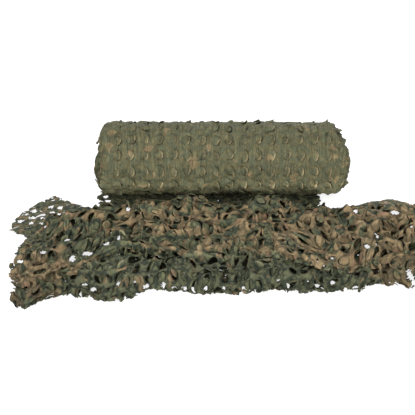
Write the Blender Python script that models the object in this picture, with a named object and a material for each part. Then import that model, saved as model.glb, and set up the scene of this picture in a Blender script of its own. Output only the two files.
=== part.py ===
"""A camouflage net: most of it is wound into a roll, and its end is pulled out and heaped in front.

Metres, +Z up. The roll lies along X above the origin, and the loose net lies towards -Y.
The loose net is one sheet. It leaves under the roll as a strip, widens on the floor, turns back over
itself at the front, and turns forward again at the rear, so that most of it lies in three layers.
"""

import math
import random
from collections import namedtuple

import bmesh
import bpy

# Roll
ROLL_LENGTH = 1.18
ROLL_RADIUS = 0.1725
TURN_STEP = 0.008  # how far the outermost turn stands above the one inside it
FLAT_DEPTH = 0.002  # how much of the smallest radius the flat underside takes away
ROLL_LUMPS = 0.0025  # height of the soft lumps round the roll
END_LUMPS = 0.004  # how far the turns' edges stand in or out at each end
SIDES = 44  # points round the roll
LENGTHS = 26  # steps along it, between the shoulders

# Loose net
CLOTH = 0.0025  # thickness of the leaf-cut cloth
GAP = 0.0003  # between the roll and the strip below it
COLUMNS = 36  # grid cells across the net
STRIP_FIRST = 6  # first and last column lines of the strip that leaves the roll
STRIP_LAST = 26
STRIP_REAR = 0.065  # where the strip ends behind the roll's line of contact
STRIP_ROWS = 5
HOLE_ROW_STEP = 3  # every third row of the grid has gaps, and the tight turns of the folds have none
HOLE_ROW_FIRST = 2
EDGE_RAGGED = (0.004, 0.002)  # unevenness of the net's own grid along X and Y
SEED = 7

# Each end of the roll, from the shoulder to the middle: how far in from the end, and share of the radius.
EndRing = namedtuple("EndRing", "inset share")
END_RINGS = (
    EndRing(0.045, 1.00),
    EndRing(0.022, 0.955),
    EndRing(0.008, 0.83),
    EndRing(0.000, 0.60),
    EndRing(0.006, 0.30),
)
END_MIDDLE = 0.010
END_LEAN = 0.028  # how far each end draws in at the top of the roll

# The roll's soft lumps: waves round it, waves along it in radians a metre, and phase.
RollWave = namedtuple("RollWave", "around along phase")
ROLL_WAVES = (
    RollWave(5, 9.0, 0.0),
    RollWave(3, -17.0, 1.0),
    RollWave(0, 23.0, 2.0),
)

# The ends' uneven turns: waves round the end, and radians from its middle to its rim.
EndWave = namedtuple("EndWave", "around outward")
END_WAVES = (EndWave(3, 40.0), EndWave(2, 25.0))

# Lines that the folds follow across the net, given as Y at each X, and how high the folds stand there.
Station = namedtuple("Station", "x back rear lip front scale")
STATIONS = (
    Station(-0.96, -0.42, -0.50, -1.03, -1.12, 0.40),
    Station(-0.90, -0.28, -0.46, -1.07, -1.17, 0.45),
    Station(-0.84, -0.14, -0.42, -1.11, -1.21, 0.50),
    Station(-0.78, -0.08, -0.38, -1.13, -1.23, 0.60),
    Station(-0.70, -0.13, -0.35, -1.06, -1.16, 0.72),
    Station(-0.59, -0.22, -0.33, -1.00, -1.13, 0.85),
    Station(-0.46, -0.22, -0.31, -0.84, -1.18, 0.95),
    Station(-0.30, -0.22, -0.29, -0.82, -1.09, 1.00),
    Station(-0.15, -0.22, -0.25, -0.86, -1.08, 1.00),
    Station(0.00, -0.22, -0.31, -0.82, -1.12, 1.00),
    Station(0.15, -0.22, -0.28, -0.86, -1.11, 1.00),
    Station(0.30, -0.22, -0.30, -0.93, -1.11, 1.00),
    Station(0.45, -0.22, -0.31, -1.00, -1.10, 0.90),
    Station(0.56, -0.21, -0.31, -0.97, -1.06, 0.80),
    Station(0.70, -0.16, -0.30, -0.92, -1.01, 0.75),
    Station(0.80, -0.11, -0.30, -0.93, -1.03, 0.70),
    Station(0.90, -0.20, -0.35, -0.88, -0.99, 0.65),
    Station(1.02, -0.38, -0.43, -0.85, -0.93, 0.60),
)

# The net's section, followed along the cloth. Each stop lies on one of the lines above, moved by offset.
# lift is the share of the heap's lumps that it rises by, left and right are the net's edges there, and
# rows is the number of grid rows to the next stop.
Stop = namedtuple("Stop", "name line offset height lift left right rows")
SECTION = (
    Stop("back edge", "back", 0.000, 0.000, 0.0, -0.910, 0.970, 1),
    Stop("floor rear", "rear", 0.020, 0.000, 0.0, -0.965, 1.000, 2),
    Stop("floor notch", "rear", -0.100, 0.000, 0.0, -0.870, 1.010, 5),
    Stop("floor middle", "lip", 0.160, 0.000, 0.0, -0.885, 1.000, 6),
    Stop("floor front", "front", 0.060, 0.000, 0.0, -0.850, 0.960, 1),
    Stop("front foot", "front", 0.014, 0.004, 0.0, -0.840, 0.950, 1),
    Stop("front nose", "front", 0.000, 0.028, 0.2, -0.830, 0.945, 1),
    Stop("front crest", "front", 0.045, 0.052, 0.5, -0.835, 0.955, 5),
    Stop("middle", "lip", 0.080, 0.036, 0.5, -0.855, 0.970, 6),
    Stop("middle rear", "rear", -0.120, 0.031, 0.5, -0.825, 0.960, 2),
    Stop("rear foot", "rear", -0.026, 0.034, 0.6, -0.780, 0.950, 1),
    Stop("rear nose", "rear", 0.006, 0.058, 0.8, -0.770, 0.940, 1),
    Stop("rear top", "rear", -0.032, 0.084, 1.0, -0.780, 0.950, 3),
    Stop("main crest", "rear", -0.200, 0.097, 1.0, -0.830, 0.985, 3),
    Stop("trough", "lip", 0.170, 0.078, 1.0, -0.875, 1.005, 2),
    Stop("swell", "lip", 0.060, 0.092, 1.0, -0.865, 0.985, 1),
    Stop("lip", "lip", 0.000, 0.075, 0.9, -0.840, 0.960, 0),
)

# Lumps and short ridges of the heap: centre, height, and reach along X and Y.
Lump = namedtuple("Lump", "x y height reach_x reach_y")
LUMPS = (
    Lump(-0.13, -0.27, 0.045, 0.11, 0.10),
    Lump(0.22, -0.30, 0.038, 0.10, 0.10),
    Lump(-0.42, -0.45, 0.030, 0.16, 0.09),
    Lump(-0.68, -0.50, 0.032, 0.15, 0.08),
    Lump(0.02, -0.52, 0.024, 0.20, 0.07),
    Lump(0.38, -0.46, 0.030, 0.14, 0.09),
    Lump(0.63, -0.43, 0.034, 0.12, 0.10),
    Lump(0.83, -0.42, 0.030, 0.10, 0.09),
    Lump(-0.78, -0.86, 0.036, 0.14, 0.12),
    Lump(-0.52, -0.72, 0.022, 0.12, 0.14),
    Lump(-0.20, -0.96, 0.026, 0.16, 0.09),
    Lump(0.16, -0.72, 0.022, 0.18, 0.07),
    Lump(0.22, -1.00, 0.020, 0.14, 0.08),
    Lump(0.55, -0.78, 0.034, 0.13, 0.12),
    Lump(0.84, -0.76, 0.030, 0.12, 0.13),
    Lump(-0.76, -1.10, 0.024, 0.10, 0.08),
)


def curve_at(position, knots, values):
    """The value at a position on a smooth curve through values, which lie at the rising knots."""
    last = len(knots) - 1
    span = 0
    while span < last - 1 and position > knots[span + 1]:
        span += 1

    def slope(k):
        low = max(k - 1, 0)
        high = min(k + 1, last)
        return (values[high] - values[low]) / (knots[high] - knots[low])

    width = knots[span + 1] - knots[span]
    t = min(max((position - knots[span]) / width, 0.0), 1.0)
    start = values[span] * (1 + 2 * t) * (1 - t) ** 2
    end = values[span + 1] * t * t * (3 - 2 * t)
    leave = slope(span) * width * t * (1 - t) ** 2
    arrive = slope(span + 1) * width * t * t * (t - 1)
    return start + end + leave + arrive


STATION_X = [station.x for station in STATIONS]


def across(column, x):
    """A column of the stations' table, read at x."""
    return curve_at(x, STATION_X, [getattr(station, column) for station in STATIONS])


def stop_place(stop, x):
    """Y and Z of a stop of the section at x, before the heap's lumps."""
    return across(stop.line, x) + stop.offset, stop.height * across("scale", x)


def cloth_lengths():
    """How far along the cloth each stop lies, measured on the section at X = 0."""
    places = [stop_place(stop, 0.0) for stop in SECTION]
    lengths = [0.0]
    for here, there in zip(places, places[1:]):
        lengths.append(lengths[-1] + math.dist(here, there))
    return lengths


KNOTS = cloth_lengths()


def lumps_at(x, y):
    """Height of the heap's lumps over a point of the floor."""
    total = 0.0
    for lump in LUMPS:
        away = ((x - lump.x) / lump.reach_x) ** 2 + ((y - lump.y) / lump.reach_y) ** 2
        total += lump.height * math.exp(-away)
    return total


def sheet_point(share, along, ragged):
    """A point of the net's lower face. share runs from its left edge to its right, along the cloth's length."""
    left = curve_at(along, KNOTS, [stop.left for stop in SECTION])
    right = curve_at(along, KNOTS, [stop.right for stop in SECTION])
    x = left + (right - left) * share + ragged[0]
    places = [stop_place(stop, x) for stop in SECTION]
    y = curve_at(along, KNOTS, [place[0] for place in places]) + ragged[1]
    z = max(curve_at(along, KNOTS, [place[1] for place in places]), 0.0)
    lift = curve_at(along, KNOTS, [stop.lift for stop in SECTION])
    return x, y, z + max(lift, 0.0) * lumps_at(x, y)


def strip_point(share, row):
    """A point of the flat strip under the roll, on the grid line that many rows from its rear end."""
    x, front, _ = sheet_point(share, 0.0, (0.0, 0.0))
    return x, STRIP_REAR + (front - STRIP_REAR) * row / STRIP_ROWS, 0.0


def row_positions():
    """Where each grid row of the widened net lies along the cloth."""
    rows = []
    for index, stop in enumerate(SECTION[:-1]):
        for step in range(stop.rows):
            rows.append(KNOTS[index] + (KNOTS[index + 1] - KNOTS[index]) * step / stop.rows)
    rows.append(KNOTS[-1])
    return rows


def is_hole(column, row, row_count):
    """Whether a grid cell of the widened net is one of its staggered gaps."""
    if row % HOLE_ROW_STEP != HOLE_ROW_FIRST or row > row_count - 2:
        return False
    inside = 0 < column < COLUMNS - 1
    return inside and (column + row // HOLE_ROW_STEP) % 2 == 0


def make_material(name, colour, roughness):
    material = bpy.data.materials.new(name)
    material.use_nodes = True
    shader = material.node_tree.nodes["Principled BSDF"]
    shader.inputs["Base Color"].default_value = (*colour, 1.0)
    shader.inputs["Roughness"].default_value = roughness
    shader.inputs["Metallic"].default_value = 0.0
    return material


def make_object(name, bm, material):
    mesh = bpy.data.meshes.new(name)
    bm.to_mesh(mesh)
    bm.free()
    mesh.shade_smooth()
    mesh.materials.append(material)
    made = bpy.data.objects.new(name, mesh)
    bpy.context.scene.collection.objects.link(made)
    return made


def make_spread(material):
    """The loose net: a grid with gaps, in the shape in which it lies, given its thickness upwards."""
    draw = random.Random(SEED)
    bm = bmesh.new()
    rows = row_positions()
    lines = []
    for row in range(STRIP_ROWS):
        strip = range(STRIP_FIRST, STRIP_LAST + 1)
        lines.append({c: bm.verts.new(strip_point(c / COLUMNS, row)) for c in strip})
    for row, along in enumerate(rows):
        line = {}
        for c in range(COLUMNS + 1):
            ragged = [draw.uniform(-reach, reach) for reach in EDGE_RAGGED]
            if row == 0:
                ragged = (0.0, 0.0)
            line[c] = bm.verts.new(sheet_point(c / COLUMNS, along, ragged))
        lines.append(line)
    for index in range(len(lines) - 1):
        behind, ahead = lines[index], lines[index + 1]
        row = index - STRIP_ROWS
        for c in range(COLUMNS):
            if c not in behind or c + 1 not in behind:
                continue
            if row >= 0 and is_hole(c, row, len(rows) - 1):
                continue
            bm.faces.new((behind[c], ahead[c], ahead[c + 1], behind[c + 1]))
    net = make_object("net_spread", bm, material)
    solid = net.modifiers.new("thickness", "SOLIDIFY")
    solid.thickness = CLOTH
    solid.offset = 1.0
    return net


def roll_centre():
    """Height of the roll's axis, so that its smallest radius still reaches the flat underside."""
    return CLOTH + GAP + ROLL_RADIUS - TURN_STEP / 2 - FLAT_DEPTH


def roll_radius(turn, x):
    """Radius of the wound net. turn runs from 0 to 1, from below up the back, over and down the front."""
    spiral = TURN_STEP * (0.5 - turn)
    angle = 2 * math.pi * turn
    lumps = [math.sin(wave.around * angle + wave.along * x + wave.phase) for wave in ROLL_WAVES]
    return ROLL_RADIUS + spiral + ROLL_LUMPS * sum(lumps) / len(lumps)


def roll_ring(bm, x, share, end_lumps, lean):
    """A ring of the roll. share scales its radius, end_lumps moves it along X, and lean moves its top."""
    ring = []
    for side in range(SIDES):
        turn = (side + 0.5) / SIDES
        angle = 2 * math.pi * turn
        radius = share * roll_radius(turn, x)
        z = roll_centre() - radius * math.cos(angle)
        uneven = [math.sin(wave.around * angle + wave.outward * share) for wave in END_WAVES]
        drawn_in = max(-math.cos(angle), 0.0) ** 2 * share
        shift = end_lumps * math.prod(uneven) + lean * drawn_in
        point = (x + shift, radius * math.sin(angle), max(z, CLOTH + GAP))
        ring.append(bm.verts.new(point))
    return ring


def make_roll(material):
    """The wound net, with rounded shoulders, uneven ends and a flat underside."""
    bm = bmesh.new()
    half = ROLL_LENGTH / 2
    rings = []
    for place in reversed(END_RINGS):
        lumps = END_LUMPS if place.share < 1 else 0.0
        rings.append(roll_ring(bm, place.inset - half, place.share, lumps, END_LEAN))
    body = half - END_RINGS[0].inset
    for step in range(1, LENGTHS):
        rings.append(roll_ring(bm, -body + 2 * body * step / LENGTHS, 1.0, 0.0, 0.0))
    for place in END_RINGS:
        lumps = END_LUMPS if place.share < 1 else 0.0
        rings.append(roll_ring(bm, half - place.inset, place.share, lumps, -END_LEAN))
    for near, far in zip(rings, rings[1:]):
        for side in range(SIDES):
            after = (side + 1) % SIDES
            bm.faces.new((near[side], near[after], far[after], far[side]))
    for ring, end in ((rings[0], -1), (rings[-1], 1)):
        middle = bm.verts.new((end * (half - END_MIDDLE), 0.0, roll_centre()))
        for side in range(SIDES):
            after = (side + 1) % SIDES
            bm.faces.new((middle, ring[side], ring[after]))
    bmesh.ops.recalc_face_normals(bm, faces=bm.faces)
    return make_object("net_roll", bm, material)


def main():
    for old in list(bpy.data.objects):
        bpy.data.objects.remove(old)
    make_roll(make_material("rolled_net", (0.145, 0.135, 0.075), 0.9))
    make_spread(make_material("loose_net", (0.110, 0.100, 0.058), 0.9))


main()
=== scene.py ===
"""The looks of a camouflage net: a wound roll, and its end pulled out and heaped in loose folds in front.

Metres, +Z up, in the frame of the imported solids. The cloth is one leaf-cut fabric everywhere: a grid of
cells, each with a round cut that leaves a tongue hanging from one side of its hole. The grid is made flat
and then laid along the same folds as the solid sheet, or wound round the solid roll.
"""

import math
from collections import namedtuple

import bpy
import numpy as np
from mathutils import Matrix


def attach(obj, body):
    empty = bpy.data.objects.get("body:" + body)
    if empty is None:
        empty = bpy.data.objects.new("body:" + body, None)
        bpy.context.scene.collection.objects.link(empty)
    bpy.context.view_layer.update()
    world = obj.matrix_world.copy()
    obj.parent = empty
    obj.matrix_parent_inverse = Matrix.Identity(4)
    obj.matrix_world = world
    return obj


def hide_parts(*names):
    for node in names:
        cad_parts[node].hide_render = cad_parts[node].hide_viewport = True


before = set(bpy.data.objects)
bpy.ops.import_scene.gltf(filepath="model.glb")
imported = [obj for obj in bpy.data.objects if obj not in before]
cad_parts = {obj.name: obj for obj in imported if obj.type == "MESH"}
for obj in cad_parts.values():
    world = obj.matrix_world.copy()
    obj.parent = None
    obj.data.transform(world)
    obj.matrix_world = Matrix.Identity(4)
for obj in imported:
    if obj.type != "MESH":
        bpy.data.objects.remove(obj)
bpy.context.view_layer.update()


def table(fields, *rows):
    """Rows of values with named fields."""
    kind = namedtuple("Row", fields)
    return tuple(kind(*row) for row in rows)


# Sizes of the solids, in metres
ROLL_LENGTH = 1.18
ROLL_RADIUS = 0.1725
TURN_STEP = 0.008  # the step where the outermost turn begins
FLAT_DEPTH = 0.002  # cut off the roll by its flat underside
ROLL_LUMPS = 0.0025
END_LEAN = 0.028
CLOTH = 0.0025
GAP = 0.0003
STRIP_LEFT = -0.585
STRIP_RIGHT = 0.452
STRIP_REAR = 0.065
STRIP_TOP = CLOTH + GAP  # what the roll stands on
ROLL_CENTRE = STRIP_TOP + ROLL_RADIUS - TURN_STEP / 2 - FLAT_DEPTH

# Rings of the roll's ends, from the shoulder to the middle: how far in from the end, and share of the radius
END_RINGS = table(
    "inset share",
    (0.045, 1.00), (0.022, 0.955), (0.008, 0.83), (0.000, 0.60), (0.006, 0.30), (0.010, 0.00),
)
SHOULDER = END_RINGS[3::-1]
ROLL_WAVES = table("around along phase", (5, 9.0, 0.0), (3, -17.0, 1.0), (0, 23.0, 2.0))

# Lines that the folds follow across the net, given as Y at each X, and how high the folds stand there
STATIONS = table(
    "x back rear lip front scale",
    (-0.96, -0.36, -0.50, -1.02, -1.07, 0.40),
    (-0.90, -0.25, -0.46, -1.05, -1.12, 0.45),
    (-0.84, -0.145, -0.42, -1.09, -1.17, 0.50),
    (-0.78, -0.09, -0.38, -1.13, -1.245, 0.60),
    (-0.70, -0.15, -0.35, -1.06, -1.145, 0.72),
    (-0.59, -0.22, -0.33, -1.00, -1.13, 0.85),
    (-0.46, -0.22, -0.31, -0.84, -1.18, 0.95),
    (-0.30, -0.22, -0.29, -0.82, -1.09, 1.00),
    (-0.15, -0.22, -0.25, -0.86, -1.08, 1.00),
    (0.00, -0.22, -0.31, -0.82, -1.12, 1.00),
    (0.15, -0.22, -0.28, -0.86, -1.08, 1.00),
    (0.30, -0.22, -0.30, -0.93, -1.10, 1.00),
    (0.45, -0.22, -0.31, -1.00, -1.09, 0.90),
    (0.56, -0.21, -0.31, -0.97, -1.055, 0.80),
    (0.69, -0.16, -0.30, -0.92, -1.02, 0.75),
    (0.74, -0.13, -0.30, -0.93, -1.06, 0.72),
    (0.80, -0.11, -0.30, -0.93, -0.99, 0.70),
    (0.90, -0.20, -0.35, -0.88, -0.99, 0.65),
    (1.02, -0.38, -0.43, -0.85, -0.93, 0.60),
)

# The net's section, followed along the cloth: the solids' folds, with the room that the cloth's own
# crumples take up and down from the fold, and the share of brown in its printed patches
SECTION = table(
    "name line offset height lift left right up down brown",
    ("back edge", "back", 0.000, 0.000, 0.0, -0.960, 0.970, 0.014, 0.000, 0.34),
    ("floor rear", "rear", 0.020, 0.000, 0.0, -0.980, 1.000, 0.016, 0.000, 0.38),
    ("floor notch", "rear", -0.100, 0.000, 0.0, -0.970, 1.010, 0.010, 0.000, 0.40),
    ("floor middle", "lip", 0.160, 0.000, 0.0, -0.885, 1.000, 0.010, 0.000, 0.34),
    ("floor front", "front", 0.100, 0.000, 0.0, -0.850, 0.960, 0.008, 0.000, 0.34),
    ("front foot", "front", 0.016, 0.001, 0.0, -0.850, 0.950, 0.003, 0.000, 0.30),
    ("front nose", "front", 0.008, 0.006, 0.0, -0.846, 0.947, 0.006, 0.003, 0.26),
    ("front rise", "front", 0.036, 0.012, 0.2, -0.846, 0.945, 0.012, 0.010, 0.24),
    ("front crest", "front", 0.096, 0.044, 0.5, -0.850, 0.955, 0.014, 0.016, 0.24),
    ("middle", "lip", 0.080, 0.052, 0.5, -0.858, 0.970, 0.016, 0.012, 0.27),
    ("middle rear", "rear", -0.120, 0.031, 0.5, -0.825, 0.960, 0.008, 0.020, 0.38),
    ("rear foot", "rear", -0.026, 0.034, 0.6, -0.780, 0.950, 0.006, 0.016, 0.36),
    ("rear nose", "rear", 0.000, 0.056, 0.8, -0.770, 0.940, 0.004, 0.020, 0.30),
    ("rear top", "rear", -0.036, 0.078, 1.0, -0.795, 0.950, 0.006, 0.032, 0.34),
    ("main crest", "rear", -0.200, 0.094, 1.0, -0.850, 0.985, 0.014, 0.044, 0.58),
    ("trough", "lip", 0.170, 0.076, 1.0, -0.895, 1.005, 0.016, 0.036, 0.58),
    ("swell", "lip", 0.060, 0.078, 1.0, -0.868, 0.985, 0.012, 0.034, 0.54),
    ("lip", "lip", 0.000, 0.054, 0.6, -0.846, 0.960, 0.008, 0.006, 0.44),
)
STOP_NAMES = [stop.name for stop in SECTION]
FLOOR_REAR = STOP_NAMES.index("floor rear")
FRONT_NOSE = STOP_NAMES.index("front nose")
REAR_NOSE = STOP_NAMES.index("rear nose")

# Lumps and short ridges of the heap: centre, height, and reach along X and Y
LUMPS = table(
    "x y height reach_x reach_y",
    (-0.13, -0.27, 0.036, 0.11, 0.10),
    (0.22, -0.30, 0.032, 0.10, 0.10),
    (-0.42, -0.45, 0.030, 0.16, 0.09),
    (-0.68, -0.50, 0.032, 0.15, 0.08),
    (0.02, -0.52, 0.024, 0.20, 0.07),
    (0.38, -0.46, 0.030, 0.14, 0.09),
    (0.63, -0.43, 0.034, 0.12, 0.10),
    (0.83, -0.42, 0.030, 0.10, 0.09),
    (-0.78, -0.86, 0.036, 0.14, 0.12),
    (-0.52, -0.72, 0.022, 0.12, 0.14),
    (-0.20, -0.96, 0.026, 0.16, 0.09),
    (0.16, -0.72, 0.022, 0.18, 0.07),
    (0.22, -1.00, 0.020, 0.14, 0.08),
    (0.55, -0.78, 0.034, 0.13, 0.12),
    (0.84, -0.76, 0.030, 0.12, 0.13),
    (-0.76, -1.10, 0.024, 0.10, 0.08),
)

# The leaf-cut cloth
PULLED_ACROSS = 0.064  # leaf cuts across the net, where it is pulled tight on the roll
PULLED_PITCH = (PULLED_ACROSS, 0.075)  # leaf cuts across and along it there
LOOSE_PITCH = (0.052, 0.060)  # leaf cuts across and along the net, as it lies loose
QUARTERS = 4  # points on each side of a cell
RIM = 4 * QUARTERS
HINGE = 5  # points of the rim that a tongue hangs from
TONGUE_START = 0.22 * math.pi  # where a tongue's free part starts, as an angle on its cut from the hinge
TONGUE_END = 0.90 * math.pi
FLAT_TONGUE = 1.03  # size of the tongues of a layer that lies flat, next to their holes
FREE_FROM = 0.62  # how far from the hole's middle a tongue's edge starts to curl, as a share of the hole
FREE_OVER = 0.25
TWIST = 0.15
HOLE_DRIFT = 0.04  # how far a hole is off the middle of its cell, in cells
HOLE_SIZES = (0.90, 1.06)
TILTS = (0.5, 1.3)
TONGUE_CUT_SHADE = 0.30  # how much painted shade a tongue's own edge gets, next to the rim of its hole
SHEET_THICKNESS = 0.0009
FLOOR_CLEAR = 0.0008
SLACK = 1.14  # how much longer the loose cloth is than the folds it lies in
FLOOR_CLOTH = 0.90  # cloth on the floor, from the front fold to the rear one
MIDDLE_CLOTH = 0.86  # cloth in the middle layer
TOP_CLOTH = 0.70  # cloth in the top layer, from the rear fold to the lip
HEAP_COLUMNS = 41
HEAP_FRONT_ROWS = 23  # rows of leaves on the floor, behind the front fold
HEAP_BACK_ROWS = 26  # rows of leaves from the front fold back and forward again
HEAP_WIDTH = HEAP_COLUMNS * LOOSE_PITCH[0]

# How a piece is cut: the hole's radius in cells, its width as a share of that, the tongue's size next to it,
# its rows of quads, the side it hangs from and how much that varies, in points of the rim, how far its edge
# curls up and the rim tilts out of the cloth, in metres, and how lobed the hole is
Hang = namedtuple("Hang", "hole narrow tongue rows direction spread edge_curl tilt lobes")
# Kinds of tongues: share of all, and limits of the angle at the hinge and of what the tip adds to it
TURN = "share hinge_low hinge_high curl_low curl_high"
# Columns of a piece's points after the place across and along the cloth: place off it, how near a tongue's
# free edge is, which sets its painted highlight, the leaf's tone, to which painted shade and light are
# added in places, where it lay before it was bent, and how much painted shade a cut gets, 1 at a hole's rim
OFF, EDGE, TONE, UNBENT, CUT_SHADE = 2, 3, 4, slice(5, 7), 7

Noise = namedtuple("Noise", "amount size seed stretch", defaults=(1.0,))


def curve_at(position, knots, values):
    """Values on smooth curves through the columns of values, at rising knots, both for each position."""
    count = len(position)
    knots, values = (
        np.broadcast_to(np.asarray(part, float), (count, np.shape(part)[-1])) for part in (knots, values)
    )
    last = knots.shape[1] - 1
    span = np.clip((knots < position[:, None]).sum(1) - 1, 0, last - 1)
    row = np.arange(count)

    def slope(k):
        low = np.maximum(k - 1, 0)
        high = np.minimum(k + 1, last)
        return (values[row, high] - values[row, low]) / (knots[row, high] - knots[row, low])

    width = knots[row, span + 1] - knots[row, span]
    t = np.clip((position - knots[row, span]) / width, 0.0, 1.0)
    start = values[row, span] * (1 + 2 * t) * (1 - t) ** 2
    end = values[row, span + 1] * t * t * (3 - 2 * t)
    leave = slope(span) * width * t * (1 - t) ** 2
    arrive = slope(span + 1) * width * t * t * (t - 1)
    return start + end + leave + arrive


def soft_noise(a, b, size, seed):
    """Smooth noise, mostly from -1 to 1, over the plane of a and b, with bumps of that size."""
    count = 64
    knots = np.random.default_rng(seed).uniform(-1.0, 1.0, (count, count))
    a = a / size + 13.7
    b = b / size + 29.3
    i = np.floor(a).astype(int)
    j = np.floor(b).astype(int)
    s = a - i
    t = b - j
    s = s * s * (3 - 2 * s)
    t = t * t * (3 - 2 * t)
    i, i_after, j, j_after = (place % count for place in (i, i + 1, j, j + 1))
    low = knots[i, j] * (1 - s) + knots[i_after, j] * s
    high = knots[i, j_after] * (1 - s) + knots[i_after, j_after] * s
    return (low * (1 - t) + high * t) * 1.5


def noises(a, b, parts):
    """A sum of soft noises. A stretch below 1 draws the bumps out along a."""
    return sum(part.amount * soft_noise(a * part.stretch, b, part.size, part.seed) for part in parts)


def above(value, start, over):
    """0 up to start, and from there up to 1 over that distance."""
    return np.clip((value - start) / over, 0, 1)


def below(value, start, over):
    """0 down to start, and from there down to 1 over that distance."""
    return np.clip((start - value) / over, 0, 1)


def unit(angle):
    return np.stack([np.cos(angle), np.sin(angle)], 1)


# ---- the folds

LAID_WIDTH = 1.86  # a first guess at where the cloth lies
LAID_MIDDLE = 0.05
DRIFT_ACROSS = (Noise(0.016, 0.17, 1), Noise(0.013, 0.070, 2), Noise(0.004, 0.030, 9))
DRIFT_ALONG = (Noise(0.016, 0.15, 3), Noise(0.015, 0.066, 4), Noise(0.005, 0.032, 10))
DRIFT_PAST_SIDE = 0.02
CRUMPLES = (Noise(0.42, 0.12, 5, 0.6), Noise(0.56, 0.056, 6, 0.75))
CREASE = Noise(0.34, 0.044, 7)
CREASE_MIDDLE = 0.45
FRONT_RAGGED = 0.06  # how far along the cloth from the front fold its edge is uneven


def lumps_at(x, y):
    total = np.zeros(len(x))
    for lump in LUMPS:
        away = ((x - lump.x) / lump.reach_x) ** 2 + ((y - lump.y) / lump.reach_y) ** 2
        total += lump.height * np.exp(-away)
    return total


def across(field, x):
    """A field of the stations, at each x."""
    return curve_at(x, [station.x for station in STATIONS], [getattr(station, field) for station in STATIONS])


def on_section(field, along, lengths):
    """A field of the section's stops, at each place along it."""
    return curve_at(along, lengths, [getattr(stop, field) for stop in SECTION])


def along_section(v, lengths):
    """Distance along each point's own section for a place along the flat cloth. Each layer is eased to the
    depth of its section, so the rows of leaves follow the folds.
    """
    floor = lengths[:, FLOOR_REAR]
    rear = lengths[:, REAR_NOSE]
    lip = lengths[:, -1]
    back = floor + (v + FLOOR_CLOTH) / SLACK
    under = -v / FLOOR_CLOTH * floor
    middle = v / MIDDLE_CLOTH * rear
    top = rear + (v - MIDDLE_CLOTH) / TOP_CLOTH * (lip - rear)
    return np.where(v < -FLOOR_CLOTH, back, np.where(v < 0, under, np.where(v < MIDDLE_CLOTH, middle, top)))


def section_at(x, v):
    """Y and Z of the section's stops at each x, how far along it from the front fold they are, and v is."""
    lines = {name: across(name, x) for name in ("back", "rear", "lip", "front")}
    scale = across("scale", x)
    y = np.stack([lines[stop.line] + stop.offset for stop in SECTION], 1)
    z = np.stack([stop.height * scale for stop in SECTION], 1)
    steps = np.hypot(np.diff(y, axis=1), np.diff(z, axis=1))
    total = np.concatenate([np.zeros((len(y), 1)), np.cumsum(steps, 1)], 1)
    lengths = total - total[:, FRONT_NOSE : FRONT_NOSE + 1]
    return y, z, lengths, along_section(v, lengths)


def heap_point(u, v):
    """A point of the smooth folds: u across the cut net, v along the cloth from the front fold, in metres."""
    x = (u / HEAP_WIDTH - 0.5) * LAID_WIDTH + LAID_MIDDLE
    for _ in range(3):
        *_, lengths, along = section_at(x, v)
        left = on_section("left", along, lengths)
        right = on_section("right", along, lengths)
        x = left + (right - left) * u / HEAP_WIDTH
    y_stops, z_stops, lengths, along = section_at(x, v)
    y = curve_at(along, lengths, y_stops)
    z = np.maximum(curve_at(along, lengths, z_stops), 0.0)
    lift = np.maximum(on_section("lift", along, lengths), 0.0)
    return np.stack([x, y, z + lift * lumps_at(x, y)], 1), along, lengths


def heap_normals(u, v):
    """Unit normals of the folds, on the side that is up where the net lies on the floor."""
    step = 0.004
    across_it = heap_point(u + step, v)[0] - heap_point(u - step, v)[0]
    along_it = heap_point(u, v - step)[0] - heap_point(u, v + step)[0]
    normal = np.cross(across_it, along_it)
    return normal / (np.linalg.norm(normal, axis=1)[:, None] + 1e-12)


def lay_in_heap(flat):
    """Lays flat points (across, along, off the cloth) in the folds, with the cloth's own crumples."""
    u, v, off = flat.T
    u_here = np.clip(u + noises(u, v, DRIFT_ACROSS), -DRIFT_PAST_SIDE, HEAP_WIDTH + DRIFT_PAST_SIDE)
    v_here = v + noises(u, v, DRIFT_ALONG)
    here, along, lengths = heap_point(u_here, v_here)
    point = here + heap_normals(u_here, v_here) * off[:, None]
    creases = CREASE.amount * (CREASE_MIDDLE - np.abs(soft_noise(u, v, CREASE.size, CREASE.seed)))
    crumple = noises(u, v, CRUMPLES) + creases
    up = on_section("up", along, lengths)
    down = on_section("down", along, lengths)
    point[:, 2] += (crumple + 1) / 2 * (up + down) - down
    x = point[:, 0]
    ragged = 0.010 * soft_noise(x, 0.0, 0.035, 12) + 0.007 * soft_noise(x, v, 0.014, 13)
    point[:, 1] += ragged * np.clip(1 - np.abs(along) / FRONT_RAGGED, 0, 1)
    point[:, 2] = np.maximum(point[:, 2], FLOOR_CLEAR + 0.002 * np.abs(soft_noise(u, v, 0.02, 8)))
    return point, along, lengths


# ---- the leaf-cut cloth

def cell_lines(column, row):
    """Points on the lines between the cells, in cells, and which of them lie round each cell,
    counterclockwise from its low corner.
    """
    q = QUARTERS
    jj, ii = np.mgrid[0 : (row[-1] + 1) * q + 1, 0 : (column[-1] + 1) * q + 1]
    on_line = (ii % q == 0) | (jj % q == 0)
    index = -np.ones(on_line.shape, int)
    index[on_line] = np.arange(on_line.sum())
    i = np.arange(q)
    low, high = i * 0, i * 0 + q
    round_x, round_y = np.concatenate([(i, low), (high, i), (q - i, high), (low, q - i)], 1)
    outer = index[row[:, None] * q + round_y, column[:, None] * q + round_x]
    return np.stack([ii[on_line], jj[on_line]], 1) / q, outer


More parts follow.
